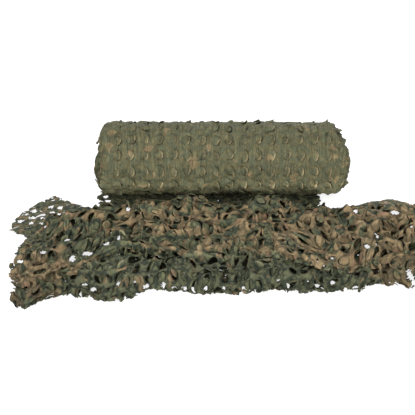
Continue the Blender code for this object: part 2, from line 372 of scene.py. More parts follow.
def hang_tongues(draw, sides, angle, centre, size, narrowed, across_pitch, hang, turns, bend):
    """A tongue for each cell, which hangs outwards at the net's sides. Gives the points of the rim that are
    its hinge, its points as bent and as cut, their heights, and how near each is to its free edge.
    """
    count = len(centre)
    first = np.round(hang.direction + hang.spread * draw.standard_normal(count)).astype(int)
    outward_first = np.round(draw.standard_normal(count)).astype(int)
    for side, on_side in enumerate(sides):
        first = np.where(on_side, outward_first + (side + 2) % 4 * QUARTERS, first)
    hinge = (first[:, None] + np.arange(HINGE)) % RIM
    root = angle[(first + HINGE // 2) % RIM]
    outward = unit(root)
    sideways = np.stack([-np.sin(root), np.cos(root)], 1)
    t = np.linspace(0.0, 1.0, hang.rows + 1)[1:]
    swing = TONGUE_START + (TONGUE_END - TONGUE_START) * t
    cover = np.where(bend < 0.9, FLAT_TONGUE, hang.tongue)[:, None]
    width = np.sin(swing) * size * cover
    reach = (1 - np.cos(swing)) * size * cover
    reach_start = (1 - math.cos(TONGUE_START)) * size * cover

    shares, *limits = np.transpose(turns)
    kind = np.minimum(np.searchsorted(np.cumsum(shares), draw.uniform(0, 1, count)), len(turns) - 1)
    hinge_low, hinge_high, curl_low, curl_high = (limit[kind] for limit in limits)
    turned = hinge_low + (hinge_high - hinge_low) * draw.uniform(0, 1, count)
    curled = curl_low + (curl_high - curl_low) * draw.uniform(0, 1, count)
    tilt = (turned[:, None] + curled[:, None] * t) * bend[:, None]
    steps = np.diff(np.concatenate([reach_start, reach], 1), axis=1)
    inward = reach_start + np.cumsum(np.cos(tilt) * steps, 1)
    height = np.cumsum(np.sin(tilt) * steps, 1) * across_pitch
    lateral = np.linspace(-1.0, 1.0, HINGE)
    twist = draw.uniform(-TWIST, TWIST, (count, 1, 1)) * (t * across_pitch)[:, None]

    middle, base, outward, sideways = (
        each[:, None, None] for each in (centre, centre + outward * size, outward, sideways)
    )
    spread = sideways * (width[:, :, None, None] * lateral[:, None])
    bent = base - outward * inward[:, :, None, None] + spread
    uncurled = base - outward * reach[:, :, None, None] + spread
    from_middle = np.linalg.norm(bent - middle, axis=3) / size[:, :, None]
    bent = middle + (bent - middle) * narrowed
    uncurled = middle + (uncurled - middle) * narrowed
    tip = t[:, None] ** 2 * above(from_middle, FREE_FROM, FREE_OVER)
    off = height[:, :, None] + twist * lateral + hang.edge_curl * (tip**2 + 0.3 * t[:, None])
    return hinge, bent, uncurled, off, tip, t


def leaf_cells(columns, rows, pitch, hang, turns, seed, bend=None, holes=None):
    """Leaf-cut cloth laid out flat: its points, and quads between them. bend and holes scale each cell's
    angles and its hole.
    """
    draw = np.random.default_rng(seed)
    count = rows * columns
    row, column = np.divmod(np.arange(count), columns)
    sides = (row == 0, column == columns - 1, row == rows - 1, column == 0)
    line_points, outer = cell_lines(column, row)
    bend = np.ones(count) if bend is None else bend(column, row)

    angle = np.radians(-135.0 + 360.0 / RIM * np.arange(RIM))
    centre = np.stack([column + 0.5, row + 0.5], 1) + draw.uniform(-HOLE_DRIFT, HOLE_DRIFT, (count, 2))
    phase = draw.uniform(0, 2 * math.pi, (2, count, 1))
    size = hang.hole * draw.uniform(*HOLE_SIZES, (count, 1))
    lobes = hang.lobes
    if holes is not None:
        scale = holes(column, row)[:, None]
        size = size * scale
        lobes = lobes * above(scale, 0.8, 0.2)
    radius = size * (1 + lobes * (np.cos(2 * angle + phase[0]) + np.cos(3 * angle + phase[1])))
    narrowed = np.array((hang.narrow, 1.0))
    rim = centre[:, None] + radius[..., None] * unit(angle) * narrowed
    between = 0.45 * rim + 0.55 * line_points[outer]
    hinge, tongue, uncurled, tongue_off, tip, t = hang_tongues(
        draw, sides, angle, centre, size, narrowed, pitch[0], hang, turns, bend
    )
    lean = unit(draw.uniform(0, 2 * math.pi, count))
    lean = lean * (hang.tilt * draw.uniform(*TILTS, count) / size[:, 0] * bend)[:, None]
    rim_off = ((rim - centre[:, None]) * lean[:, None]).sum(2)
    tongue_off = tongue_off + ((tongue - centre[:, None, None]) * lean[:, None, None]).sum(3)
    leaf_tone = np.broadcast_to(draw.uniform(-1, 1, (count, 1, 1)) * t[:, None], tip.shape)
    tongue_cut_shade = np.zeros(tip.shape)
    tongue_cut_shade[:, :, (0, -1)] = TONGUE_CUT_SHADE
    tongue_cut_shade[:, -1] = TONGUE_CUT_SHADE

    flat = np.concatenate([part.reshape(-1, 2) for part in (line_points, between, rim, tongue)]) * pitch
    points = np.zeros((len(flat), CUT_SHADE + 1))
    points[:, :2] = points[:, UNBENT] = flat
    rim_start = len(line_points) + count * RIM
    tongue_start = rim_start + count * RIM
    points[len(line_points) : rim_start, OFF] = 0.5 * rim_off.reshape(-1)
    points[rim_start:tongue_start, OFF] = rim_off.reshape(-1)
    # Painted shade goes on the rims of the holes.
    points[rim_start:tongue_start, CUT_SHADE] = 1
    for field, values in ((OFF, tongue_off), (EDGE, tip), (TONE, leaf_tone), (CUT_SHADE, tongue_cut_shade)):
        points[tongue_start:, field] = values.reshape(-1)
    points[tongue_start:, UNBENT] = uncurled.reshape(-1, 2) * pitch

    between_at = len(line_points) + np.arange(count * RIM).reshape(count, RIM)
    rim_at = between_at + count * RIM
    tongue_at = tongue_start + np.arange(count * hang.rows * HINGE).reshape(count, hang.rows, HINGE)
    after = (np.arange(RIM) + 1) % RIM
    outer_quads = np.stack([outer, between_at, between_at[:, after], outer[:, after]], 2)
    inner_quads = np.stack([between_at, rim_at, rim_at[:, after], between_at[:, after]], 2)
    keep = keep_edge_quads(sides, hinge, draw)
    rows_at = np.concatenate([np.take_along_axis(rim_at, hinge, 1)[:, None], tongue_at], 1)
    tongue_quads = np.stack(
        [rows_at[:, :-1, :-1], rows_at[:, 1:, :-1], rows_at[:, 1:, 1:], rows_at[:, :-1, 1:]], 3
    )
    return points, np.concatenate([outer_quads[keep], inner_quads[keep], tongue_quads.reshape(-1, 4)])


def keep_edge_quads(sides, hinge, draw):
    """Opens the holes of the outermost cells to the net's edge, so that it ends in cut leaves."""
    keep = np.ones((len(hinge), RIM), bool)
    for side, on_side in enumerate(sides):
        span = side * QUARTERS + np.arange(QUARTERS)
        for cell in np.nonzero(on_side)[0]:
            touching = np.intersect1d(hinge[cell], np.concatenate([span, [(span[-1] + 1) % RIM]]))
            if len(touching) < 2:
                keep[cell, span[:-1] if draw.uniform() < 0.5 else span[1:]] = False
    return keep


def add_object(name, data):
    made = bpy.data.objects.new(name, data)
    bpy.context.scene.collection.objects.link(made)
    return made


def mesh_object(name, points, faces, materials, attributes):
    mesh = bpy.data.meshes.new(name)
    mesh.from_pydata(points.tolist(), [], faces)
    for key, values in attributes.items():
        kind, field = ("FLOAT_VECTOR", "vector") if values.ndim == 2 else ("FLOAT", "value")
        made = mesh.attributes.new(key, kind, "POINT")
        made.data.foreach_set(field, np.ascontiguousarray(values, np.float32).reshape(-1))
    mesh.shade_smooth()
    for material in materials:
        mesh.materials.append(material)
    return add_object(name, mesh)


def cloth_piece(name, placed, points, quads, brown, faces, print_at=(0.0, 0.0)):
    """One piece of leaf-cut cloth with its print, thickness and place in the part. faces are the materials
    of its two faces.
    """
    used = np.unique(quads)
    renumber = np.zeros(len(points), int)
    renumber[used] = np.arange(len(used))
    points = points[used]
    attributes = {
        "flat": np.column_stack([points[:, :2] + print_at, np.zeros(len(points))]),
        "brown": np.broadcast_to(brown, len(placed))[used],
        "tone": points[:, TONE],
        "edge": points[:, EDGE],
        "cut": points[:, CUT_SHADE],
    }
    piece = mesh_object(name, placed[used], renumber[quads].tolist(), faces, attributes)
    solid = piece.modifiers.new("thickness", "SOLIDIFY")
    solid.thickness = SHEET_THICKNESS
    solid.offset = 0.0
    solid.material_offset = 1
    solid.material_offset_rim = 1
    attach(piece, "root")
    return piece


# ---- materials

def set_sockets(node, values):
    for key, value in values.items():
        node.inputs[key].default_value = value


class Nodes:
    """Adds and links shader nodes."""

    def __init__(self, name):
        self.material = bpy.data.materials.new(name)
        self.material.use_nodes = True
        self.tree = self.material.node_tree
        self.shader = self.tree.nodes["Principled BSDF"]

    def add(self, kind, **settings):
        node = self.tree.nodes.new("ShaderNode" + kind)
        for key, value in settings.items():
            setattr(node, key, value)
        return node

    def link(self, source, target):
        self.tree.links.new(source, target)

    def fill(self, socket, value):
        """Sets a socket to a number or a colour, or links another socket to it."""
        if isinstance(value, (int, float, tuple)):
            socket.default_value = value
        else:
            self.link(value, socket)

    def attribute(self, name, output="Fac"):
        return self.add("Attribute", attribute_name=name).outputs[output]

    def texture(self, kind, vector, output, sockets, **settings):
        """An output of a texture, or of another node that takes a vector."""
        node = self.add(kind, **settings)
        set_sockets(node, sockets)
        self.link(vector, node.inputs["Vector"])
        return node.outputs[output]

    def noise(self, vector, scale, detail=2.0, rough=0.5, output="Fac"):
        sockets = {"Scale": scale, "Detail": detail, "Roughness": rough}
        return self.texture("TexNoise", vector, output, sockets)

    def math(self, operation, *values):
        node = self.add("Math", operation=operation)
        for socket, value in zip(node.inputs, values):
            self.fill(socket, value)
        return node.outputs[0]

    def centred(self, value, middle=0.5):
        return self.math("SUBTRACT", value, middle)

    def scaled(self, value, factor, added):
        return self.math("MULTIPLY_ADD", value, factor, added)

    def stretched(self, vector, scale):
        return self.texture("Mapping", vector, "Vector", {"Scale": scale})

    def cells(self, vector, feature, output):
        return self.texture("TexVoronoi", vector, output, {"Scale": 1.0}, feature=feature)

    def ramp(self, factor, low, high):
        node = self.add("MapRange", interpolation_type="SMOOTHSTEP")
        set_sockets(node, {"From Min": low, "From Max": high})
        self.link(factor, node.inputs["Value"])
        return node.outputs["Result"]

    def mix(self, factor, first, second):
        node = self.add("Mix", data_type="RGBA")
        self.link(factor, node.inputs["Factor"])
        for key, value in (("A", first), ("B", second)):
            self.fill([s for s in node.inputs if s.name == key and s.type == "RGBA"][0], value)
        return [s for s in node.outputs if s.type == "RGBA"][0]


# edge is the paler colour of the painted highlight on the leaves' free edges.
Print = namedtuple("Print", "green dark_green tan brown pink edge")


def inks(**colours):
    """A print's colours, given as they look on screen, from 0 to 255, as linear light."""
    def linear(c):
        c /= 255
        return c / 12.92 if c <= 0.04045 else ((c + 0.055) / 1.055) ** 2.4
    return Print(**{name: (*map(linear, rgb), 1.0) for name, rgb in colours.items()})


# Bumps in a metre of cloth, of each layer of the print and of the weave
PATCH_SCALE = 17.0
GREEN_SCALE = 36.0
TAN_SCALE = 24.0
PINK_SCALE = 14.0
MOTTLE_SCALE = 34.0
WEAVE_SCALE = 420.0
PLEAT_SCALE = (120.0, 12.0, 12.0)
PRESSED_LEAF_SCALE = (74.0, 36.0, 36.0)


def cloth_material(name, ink, pleat_shade=0.0, edge_highlight=0.0, flake_tone_and_shade=0.0, mottled=0.7, grain=0.7, cut_shade=0.0):
    """Printed cloth: patches of greens and browns, with a faint weave, fine creases and each leaf's tone,
    which also holds painted shade and light where a piece puts it there.

    pleat_shade adds the fine pleats of tight cloth with painted shade in their hollows, edge_highlight a
    painted highlight on the leaves' free edges, flake_tone_and_shade the leaves of other turns that are
    pressed into it, each with its own tone and with painted shade in the cracks between them, mottled and
    grain its larger and finer tones, and cut_shade paints shade on the cloth next to its cuts.
    """
    n = Nodes(name)
    flat = n.attribute("flat", "Vector")
    grain_scale, relief_scale, relief_strength = (85.0, 80.0, 0.8) if cut_shade else (150.0, 130.0, 0.5)
    browner = n.math("MULTIPLY", n.centred(n.attribute("brown")), 0.50)
    is_brown = n.ramp(n.math("ADD", n.noise(flat, PATCH_SCALE), browner), 0.47, 0.53)
    green = n.mix(n.ramp(n.noise(flat, GREEN_SCALE), 0.42, 0.58), ink.dark_green, ink.green)
    tan = n.mix(n.ramp(n.noise(flat, TAN_SCALE), 0.42, 0.60), ink.brown, ink.tan)
    tan = n.mix(n.ramp(n.noise(flat, PINK_SCALE, 1.0), 0.62, 0.70), tan, ink.pink)
    # Painted highlight: the leaves' free edges are mixed towards the paler edge colour.
    edge = n.math("MULTIPLY", n.ramp(n.attribute("edge"), 0.06, 0.45), edge_highlight)
    base = n.mix(edge, n.mix(is_brown, green, tan), ink.edge)
    value = n.scaled(n.centred(n.noise(flat, grain_scale, 3.0, 0.65)), grain, 1.0)
    value = n.scaled(n.centred(n.noise(flat, MOTTLE_SCALE, 1.0)), mottled, value)
    # The tone attribute holds each leaf's own tone, and in places painted shade and light.
    value = n.scaled(n.attribute("tone"), 0.26, value)
    # Painted shade on the cloth next to its cuts, where the gaps between the leaves are.
    value = n.scaled(n.ramp(n.attribute("cut"), 0.15, 1.0), -cut_shade, value)
    weave = n.texture(
        "TexWave", flat, "Fac", {"Scale": WEAVE_SCALE, "Distortion": 1.5},
        wave_type="BANDS", bands_direction="DIAGONAL",
    )
    height = n.scaled(weave, 0.12, n.noise(flat, relief_scale, 4.0, 0.65))
    if pleat_shade:
        pleats = n.noise(n.stretched(flat, PLEAT_SCALE), 1.0)
        # Painted shade: the pleats' hollows are darker and their ridges paler, as well as raised in the bump.
        value = n.scaled(n.centred(pleats), pleat_shade, value)
        height = n.scaled(pleats, 2.0, height)
    if flake_tone_and_shade:
        bent = n.add("VectorMath", operation="MULTIPLY_ADD")
        n.link(n.noise(flat, 45.0, output="Color"), bent.inputs[0])
        bent.inputs[1].default_value = (0.012, 0.012, 0.0)
        n.link(flat, bent.inputs[2])
        place = n.stretched(bent.outputs["Vector"], PRESSED_LEAF_SCALE)
        leaf = n.add("SeparateColor")
        n.link(n.cells(place, "F1", "Color"), leaf.inputs["Color"])
        # Painted shade in the cracks between the pressed leaves; each leaf also has its own tone.
        crack_and_shade = n.ramp(n.cells(place, "DISTANCE_TO_EDGE", "Distance"), 0.02, 0.16)
        value = n.scaled(n.centred(leaf.outputs["Red"]), flake_tone_and_shade, value)
        value = n.scaled(n.centred(crack_and_shade, 1.0), flake_tone_and_shade * 0.9, value)
        height = n.scaled(leaf.outputs["Green"], 1.6, height)
        height = n.scaled(crack_and_shade, 1.0, height)
    shade = n.add("HueSaturation")
    n.link(value, shade.inputs["Value"])
    n.link(base, shade.inputs["Color"])
    n.link(shade.outputs["Color"], n.shader.inputs["Base Color"])
    set_sockets(n.shader, {"Roughness": 0.86, "Specular IOR Level": 0.12})
    relief = n.add("Bump")
    set_sockets(relief, {"Strength": relief_strength, "Distance": 0.004})
    n.link(height, relief.inputs["Height"])
    n.link(relief.outputs["Normal"], n.shader.inputs["Normal"])
    return n.material


LOOSE_INKS = inks(
    green=(80, 82, 60), dark_green=(46, 52, 42), tan=(117, 101, 75),
    brown=(83, 73, 54), pink=(117, 93, 73), edge=(112, 106, 82),
)
LOOSE_BACK_INKS = inks(
    green=(75, 77, 57), dark_green=(42, 47, 37), tan=(100, 88, 65),
    brown=(74, 66, 49), pink=(96, 80, 62), edge=(104, 98, 74),
)
ROLL_INKS = inks(
    green=(82, 79, 57), dark_green=(73, 75, 57), tan=(106, 94, 69),
    brown=(95, 84, 62), pink=(107, 91, 68), edge=(119, 108, 81),
)
INNER_INKS = inks(
    green=(62, 63, 45), dark_green=(50, 54, 40), tan=(84, 73, 52),
    brown=(70, 62, 44), pink=(84, 67, 50), edge=(100, 86, 62),
)
# Painted highlight on the leaves' edges and painted shade next to their cuts; on the roll and its inner
# turns, painted shade along the pleats and in the cracks between pressed leaves.
LOOSE_LOOK = {"edge_highlight": 0.50, "mottled": 0.45, "grain": 1.6, "cut_shade": 0.48}
WOUND_LOOK = {"pleat_shade": 1.2, "edge_highlight": 1.0, "flake_tone_and_shade": 0.17, "mottled": 0.4, "grain": 0.6}
top_face = cloth_material("loose_cloth_front", LOOSE_INKS, **LOOSE_LOOK)
under_face = cloth_material("loose_cloth_back", LOOSE_BACK_INKS, **LOOSE_LOOK)
roll_face = cloth_material("wound_cloth_front", ROLL_INKS, **WOUND_LOOK)
roll_back = cloth_material("wound_cloth_back", INNER_INKS)
inner_face = cloth_material("wound_cloth_inner", INNER_INKS, pleat_shade=1.5, flake_tone_and_shade=0.26)


# ---- the eye

CAMERA_ELEVATION = 23.0
CAMERA_DISTANCE = 6.0
CAMERA_LENS = 110.0
SENSOR_WIDTH = 36.0  # in millimetres, as the lens
PHOTO_SIZE = 415
METRES_PER_PIXEL = 0.00473
ROLL_MIDDLE_PIXEL = (222.0, 157.5)


def camera_place():
    """Where the camera stands so that the roll's middle falls on its pixel."""
    e = math.radians(CAMERA_ELEVATION)
    right = np.array((1.0, 0.0, 0.0))
    up = np.array((0.0, math.sin(e), math.cos(e)))
    ahead = np.array((0.0, math.cos(e), -math.sin(e)))
    centre = PHOTO_SIZE / 2
    target = np.array((0.0, 0.0, ROLL_RADIUS))
    target = target - up * (centre - ROLL_MIDDLE_PIXEL[1]) * METRES_PER_PIXEL
    target = target - right * (ROLL_MIDDLE_PIXEL[0] - centre) * METRES_PER_PIXEL
    return target - ahead * CAMERA_DISTANCE


# ---- the heap

LOOSE = Hang(
    hole=0.36, narrow=1.0, tongue=0.97, rows=4, direction=3.0, spread=4.0,
    edge_curl=0.0, tilt=0.0095, lobes=0.10,
)
LOOSE_TURNS = table(
    TURN,
    (0.32, -0.35, 0.35, -0.4, 0.4),
    (0.34, -1.00, -0.40, -0.8, 0.2),
    (0.24, 0.30, 0.80, -0.6, 0.4),
    (0.10, -1.80, -1.10, -0.6, 0.4),
)

# Where the cuts of all the layers line up, so that the floor shows: x and y on the floor, and reach along
# each, in millimetres
OPENINGS_MM = (
    (-686, -560, 14, 21), (-581, -705, 24, 26), (-641, -755, 16, 34), (-505, -600, 13, 24),
    (-457, -540, 9, 28), (-774, -690, 15, 22), (-856, -780, 15, 20), (-570, -1000, 11, 14),
    (-530, -1040, 14, 18), (-432, -990, 8, 24), (-365, -970, 7, 17), (-318, -1010, 15, 23),
    (-245, -1000, 12, 27), (-159, -1030, 7, 18), (-75, -1030, 10, 20), (-2, -1030, 7, 16),
    (75, -1030, 8, 18), (220, -960, 7, 13), (257, -1010, 8, 22), (342, -970, 6, 15),
    (375, -1010, 11, 18), (443, -980, 9, 15), (490, -1030, 4, 23), (398, -780, 6, 14),
    (420, -820, 6, 14), (460, -750, 8, 14), (622, -630, 14, 25), (664, -600, 4, 25),
    (678, -520, 9, 32), (616, -240, 13, 28), (793, -260, 21, 30), (843, -420, 11, 15),
    (766, -910, 12, 56), (774, -980, 8, 73), (-549, -70, 14, 20), (-534, -120, 15, 17),
    (-436, -220, 13, 28), (-868, -240, 13, 21), (-795, -190, 12, 15), (-753, -200, 11, 17),
    (-749, -280, 13, 12), (-785, -260, 10, 13), (-865, -320, 18, 16), (-820, -320, 11, 13),
    (-916, -360, 11, 21), (-897, -280, 8, 13), (-864, -380, 11, 12), (-816, -380, 13, 12),
    (-794, -420, 8, 12),
)

# The net's left side on the floor: Y from the front to the back, and the least X there
LEFT_SIDE = (
    (-1.20, -0.88), (-0.70, -0.885), (-0.55, -0.86), (-0.515, -0.88), (-0.485, -0.935), (-0.45, -0.95),
    (-0.36, -0.935), (-0.25, -0.915), (-0.14, -0.855), (-0.07, -0.80), (0.02, -0.74),
)
LEFT_SIDE_RAGGED = Noise(0.008, 0.030, 16)

# The layer on the floor, its thin flat wing at the left end, and its back edge: how far its tongues are
# bent, and the size of its cuts, as shares of the heap's
WING_COLUMNS = 8
WING_ROWS = 13
WING_BEND = 0.42
WING_HOLES = 0.83
BACK_EDGE_ROWS = 5
BACK_EDGE_BEND = 0.8
FLOOR_BEND = 0.08
FLOOR_HOLES = 0.80
FRONT_HOLES = 0.86

# The front fold is cut open underneath, between these and in an uneven line
FOLD_OPEN_FROM = 0.036
FOLD_OPEN_TO = 0.012
FOLD_RAGGED = Noise(0.020, 0.038, 15)


def opened(spot):
    """Whether each place lies in an opening, on the line from the eye to the floor."""
    eye = camera_place()
    on_floor = eye + (spot - eye) * (eye[2] / (eye[2] - spot[:, 2]))[:, None]
    bare = np.zeros(len(spot), bool)
    for x, y, reach_x, reach_y in np.array(OPENINGS_MM) / 1000:
        bare |= ((on_floor[:, 0] - x) / reach_x) ** 2 + ((on_floor[:, 1] - y) / reach_y) ** 2 < 1
    return bare


def heap_brown(x, y, share):
    """Browner at the right end and at both front corners, greener in the middle of the left."""
    right_end = above(x, 0.50, 0.30)
    right_corner = above(x, 0.58, 0.06) * below(y, -0.84, 0.05)
    left_corner = below(x, -0.57, 0.15) * below(y, -0.84, 0.12)
    left_middle = np.exp(-(((x + 0.60) / 0.28) ** 2) - ((y + 0.70) / 0.15) ** 2)
    left_end = below(x, -0.66, 0.12) * np.exp(-(((y + 0.76) / 0.20) ** 2))
    browner = share + 0.14 * right_end + 0.32 * right_corner + 0.28 * left_corner
    return np.clip(browner - 0.28 * left_middle - 0.14 * left_end, 0, 0.85)


def tone_with_painted_shade(tone, x, y, along, lengths):
    """Painted shade along the front of the middle layer, and painted light that makes it paler further back,
    in the shade of the lip above it. The lower left is darker.
    """
    in_middle = (along > 0) & (along < lengths[:, REAR_NOSE])
    painted_shade_and_light = -0.13 + 0.75 * above(along, 0.07, 0.12) + 1.7 * above(along, 0.17, 0.12)
    return tone + np.where(in_middle, painted_shade_and_light, 0.22) - 0.45 * below(x, -0.60, 0.15) * below(y, -0.65, 0.15)


def heap_bend(column, row):
    """The layer on the floor lies flat, but less so in the wing at the left and along its back edge."""
    wing = (column < WING_COLUMNS) & (row < WING_ROWS)
    floor = np.where(row < BACK_EDGE_ROWS, BACK_EDGE_BEND, np.where(wing, WING_BEND, FLOOR_BEND))
    return np.where(row >= HEAP_FRONT_ROWS - 1, 1.0, floor)


def heap_holes(column, row):
    """Smaller cuts near the front fold, and on the floor under the heap."""
    wing = (column < WING_COLUMNS) & (row < WING_ROWS)
    holes = np.where(row < HEAP_FRONT_ROWS - 1, np.where(wing, WING_HOLES, FLOOR_HOLES), 1.0)
    return np.where(np.abs(row - HEAP_FRONT_ROWS) < 2.5, FRONT_HOLES, holes)


def make_heap():
    """The three layers of the heap, as one cloth that is parted at its folds."""
    rows = HEAP_FRONT_ROWS + HEAP_BACK_ROWS
    points, quads = leaf_cells(
        HEAP_COLUMNS, rows, LOOSE_PITCH, LOOSE, LOOSE_TURNS, 11, heap_bend, heap_holes
    )
    points[:, 1] -= HEAP_FRONT_ROWS * LOOSE_PITCH[1]
    placed, along, lengths = lay_in_heap(points[:, :3])
    x, y = placed[:, :2].T
    points[:, TONE] = tone_with_painted_shade(points[:, TONE], x, y, along, lengths)
    brown = heap_brown(x, y, on_section("brown", along, lengths))

    place = along[quads].mean(1)
    first = lengths[quads[:, 0]].T
    folds = first[[0, FRONT_NOSE, REAR_NOSE, -1]]
    spot = placed[quads].mean(1)
    inside = (place > folds[0]) & (place < folds[3]) & ~opened(spot)
    side = np.interp(spot[:, 1], *np.transpose(LEFT_SIDE)) + noises(spot[:, 1], 0.0, (LEFT_SIDE_RAGGED,))
    inside &= (place >= folds[1]) | (spot[:, 0] > side)
    open_to = FOLD_OPEN_TO + noises(spot[:, 0], 0.0, (FOLD_RAGGED,))
    inside &= (place > open_to) | (place < first[FRONT_NOSE - 1] - FOLD_OPEN_FROM + open_to)
    for k, name in enumerate(("net_floor", "net_middle", "net_top")):
        chosen = inside & (place >= folds[k]) & (place < folds[k + 1])
        piece = cloth_piece(name, placed, points, quads[chosen], brown, (top_face, under_face))
    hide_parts("net_spread")


# ---- the strip under the roll

STRIP_COLUMNS = 18
STRIP_ROWS = 6
STRIP_FRONT = -0.36
STRIP_PITCH = (LOOSE_PITCH[0] * 1.12, LOOSE_PITCH[1] * 1.1)  # pulled a little
STRIP_HANG = LOOSE._replace(tongue=0.95, tilt=0.004)
STRIP_TURNS = table(TURN, (0.60, -0.15, 0.25, -0.1, 0.3), (0.40, 0.10, 0.60, 0.0, 0.5))
PRESSED_HANG = STRIP_HANG._replace(tongue=1.02, tilt=0.0, lobes=0.0)
PRESSED_TURNS = table(TURN, (1.0, 0.0, 0.05, 0.0, 0.05))
PRESSED_REACH = 0.060  # how far to each side of its line the roll presses the strip flat
FREED_OVER = 0.09


def make_strip(name, seed, hang, turns, low, high, shift):
    """One of the two thicknesses of folded net that leave under the roll."""
    points, quads = leaf_cells(STRIP_COLUMNS, STRIP_ROWS, STRIP_PITCH, hang, turns, seed)
    width = STRIP_COLUMNS * STRIP_PITCH[0]
    length = STRIP_ROWS * STRIP_PITCH[1]
    u, v, off = points[:, :3].T
    x = STRIP_LEFT + (STRIP_RIGHT - STRIP_LEFT) * u / width + shift + 0.006 * soft_noise(u, v, 0.07, seed + 1)
    y = STRIP_FRONT + (STRIP_REAR - STRIP_FRONT) * v / length + 0.006 * soft_noise(u, v, 0.06, seed + 2)
    x = np.clip(x, STRIP_LEFT - 0.01, STRIP_RIGHT + 0.01)
    y = np.minimum(y, STRIP_REAR)
    wave = 0.5 + 0.5 * soft_noise(u, v, 0.06, seed + 3)
    free = above(np.abs(y), PRESSED_REACH, FREED_OVER)
    z = FLOOR_CLEAR + low + (high * wave + np.clip(off, -0.004, 0.020)) * free
    placed = np.stack([x, y, np.maximum(z, FLOOR_CLEAR)], 1)
    points[:, TONE] -= 0.15
    quads = quads[~opened(placed[quads].mean(1))]
    piece = cloth_piece(name, placed, points, quads, 0.20, (top_face, top_face), (seed, 0.0))


# ---- the roll

# Pairs for the left and the right end
ROUNDER = (1.85, 1.60)  # next to the solid's shoulders
LEAN_TOP = (END_LEAN * 0.35, END_LEAN * 1.75)
LEAN_BOTTOM = (-0.008, 0.023)
ROUGH = (0.6, 1.0)
FLARE = (0.007, 0.014)  # how far single leaves stand out
LEAN_REACH = 0.10  # how far from its end the roll leans in


def by_end(x, pair):
    """The value for the end that is nearer to each x."""
    return np.where(np.asarray(x) > 0, pair[1], pair[0])


def roll_radius(turn, x):
    angle = 2 * math.pi * turn
    lumps = sum(np.sin(wave.around * angle + wave.along * x + wave.phase) for wave in ROLL_WAVES)
    taper = (0.0020 + 0.0030 * above(np.asarray(x), 0.0, 0.5)) * (0.5 - 0.5 * np.cos(angle))
    return ROLL_RADIUS - taper + TURN_STEP * (0.5 - turn) + ROLL_LUMPS * lumps / len(ROLL_WAVES)


def end_profile(x):
    """Share of the roll's radius at each x, over the rounded shoulders of its ends."""
    inset = (ROLL_LENGTH / 2 - np.abs(x)) / by_end(x, ROUNDER)
    return np.interp(inset, *np.transpose(SHOULDER))


def end_lumps(y, z, side):
    """How far the wound edges stand out or in, at a place on one end of the roll."""
    lumps = 0.008 * soft_noise(y, z, 0.050, 51 + side) + 0.008 * soft_noise(y, z, 0.024, 54 + side)
    return by_end(side, ROUGH) * lumps


def end_lean(x, angle):
    """How far each end leans inwards, towards the top and, at the right end, towards the bottom too."""
    top = np.maximum(-np.cos(angle), 0.0) ** 2
    bottom = np.maximum(np.cos(angle), 0.0) ** 2
    return by_end(x, LEAN_TOP) * top + by_end(x, LEAN_BOTTOM) * bottom


# Tan patches of the print that show on the roll: place along and round it, and radius
SPOTS = table(
    "x turn radius",
    (-0.515, 0.560, 0.017), (-0.515, 0.642, 0.019), (-0.560, 0.752, 0.016),
    (-0.265, 0.560, 0.020), (-0.435, 0.665, 0.018), (-0.350, 0.650, 0.019),
    (-0.190, 0.690, 0.014), (-0.130, 0.720, 0.015), (0.215, 0.690, 0.014),
    (0.505, 0.640, 0.020), (0.515, 0.565, 0.015), (0.515, 0.790, 0.019),
    (0.060, 0.730, 0.015), (0.330, 0.790, 0.014), (-0.310, 0.770, 0.014),
    (-0.385, 0.700, 0.012), (-0.060, 0.640, 0.013), (0.130, 0.770, 0.012),
)
WOUND = Hang(
    hole=0.34, narrow=0.80, tongue=1.04, rows=6, direction=12.8, spread=0.5,
    edge_curl=0.0022, tilt=0.0, lobes=0.02,
)
WOUND_TURNS = table(
    TURN,
    (0.50, 0.00, 0.03, 0.00, 0.03),
    (0.35, 0.02, 0.07, 0.02, 0.08),
    (0.15, 0.06, 0.14, 0.02, 0.12),
)
ROLL_COLUMNS = 18
ROLL_ROWS = 14
RIPPLE = (Noise(0.0022, 0.040, 42), Noise(0.0046, 0.019, 43))
LEAF_SINK = 0.0010  # how far below the solid's face the turn lies
FRAYED_REACH = 0.05  # how far from its end the roll's edge is uneven


